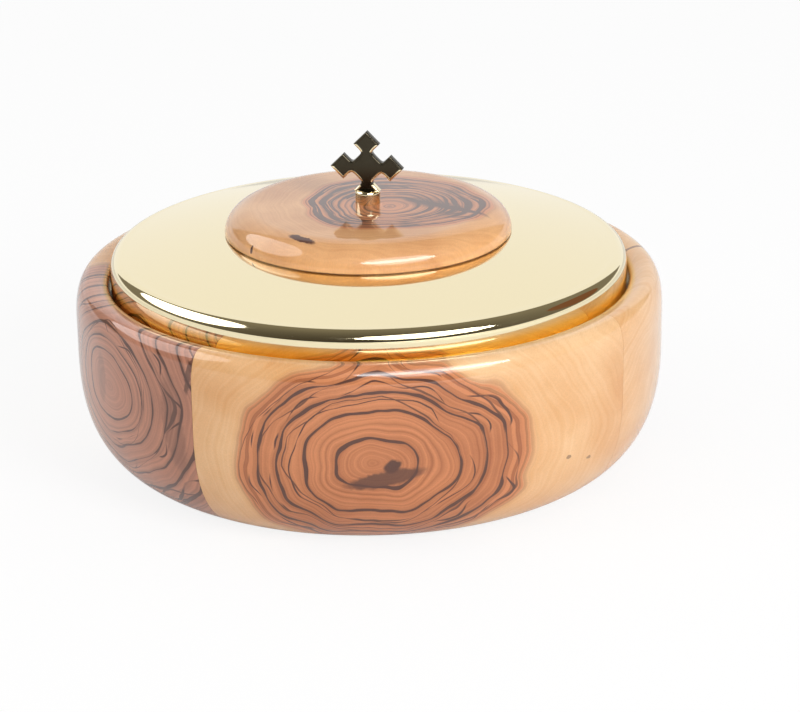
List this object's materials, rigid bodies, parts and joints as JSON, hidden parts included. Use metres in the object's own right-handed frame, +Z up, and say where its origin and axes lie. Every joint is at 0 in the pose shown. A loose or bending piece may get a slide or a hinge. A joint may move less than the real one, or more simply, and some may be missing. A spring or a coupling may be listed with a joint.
{
  "type": "covered host bowl",
  "caption": "Low turned wooden host bowl with a gilt metal cup inside and a gilt lid that lifts off, topped by a wooden dome and a small cross.",
  "frame": {"origin": "centre of the bowl's flat underside, on the surface that it stands on", "axes": "+Z up through the bowl, the lid and the cross; -Y is the front; +X is to the right seen from the front"},
  "size_m": [0.16, 0.16, 0.0906],
  "materials": {
    "olive_wood": "turned olive wood, polished varnish",
    "gilt_brass": "polished and gold plated",
    "plain_brass": "turned, not plated",
    "steel": "zinc plated fasteners",
    "felt": "dark brown wool felt"
  },
  "bodies": {
    "bowl": {"bowl_block_front": "olive_wood", "bowl_block_right": "olive_wood", "bowl_block_back": "olive_wood", "bowl_block_left": "olive_wood", "base_felt": "felt", "cup_liner": "gilt_brass", "cup_stud": "plain_brass", "cup_washer": "steel", "cup_nut": "steel"},
    "lid": {"lid_shell": "gilt_brass", "lid_dome": "olive_wood", "finial_post": "gilt_brass", "finial_cross": "gilt_brass", "finial_washer": "plain_brass", "finial_nut": "steel"}
  },
  "joints": [
    {"name": "lid_lift", "type": "slide", "parent": "bowl", "child": "lid", "axis": [0, 0, 1], "range_m": [0, 0.06]}
  ]
}
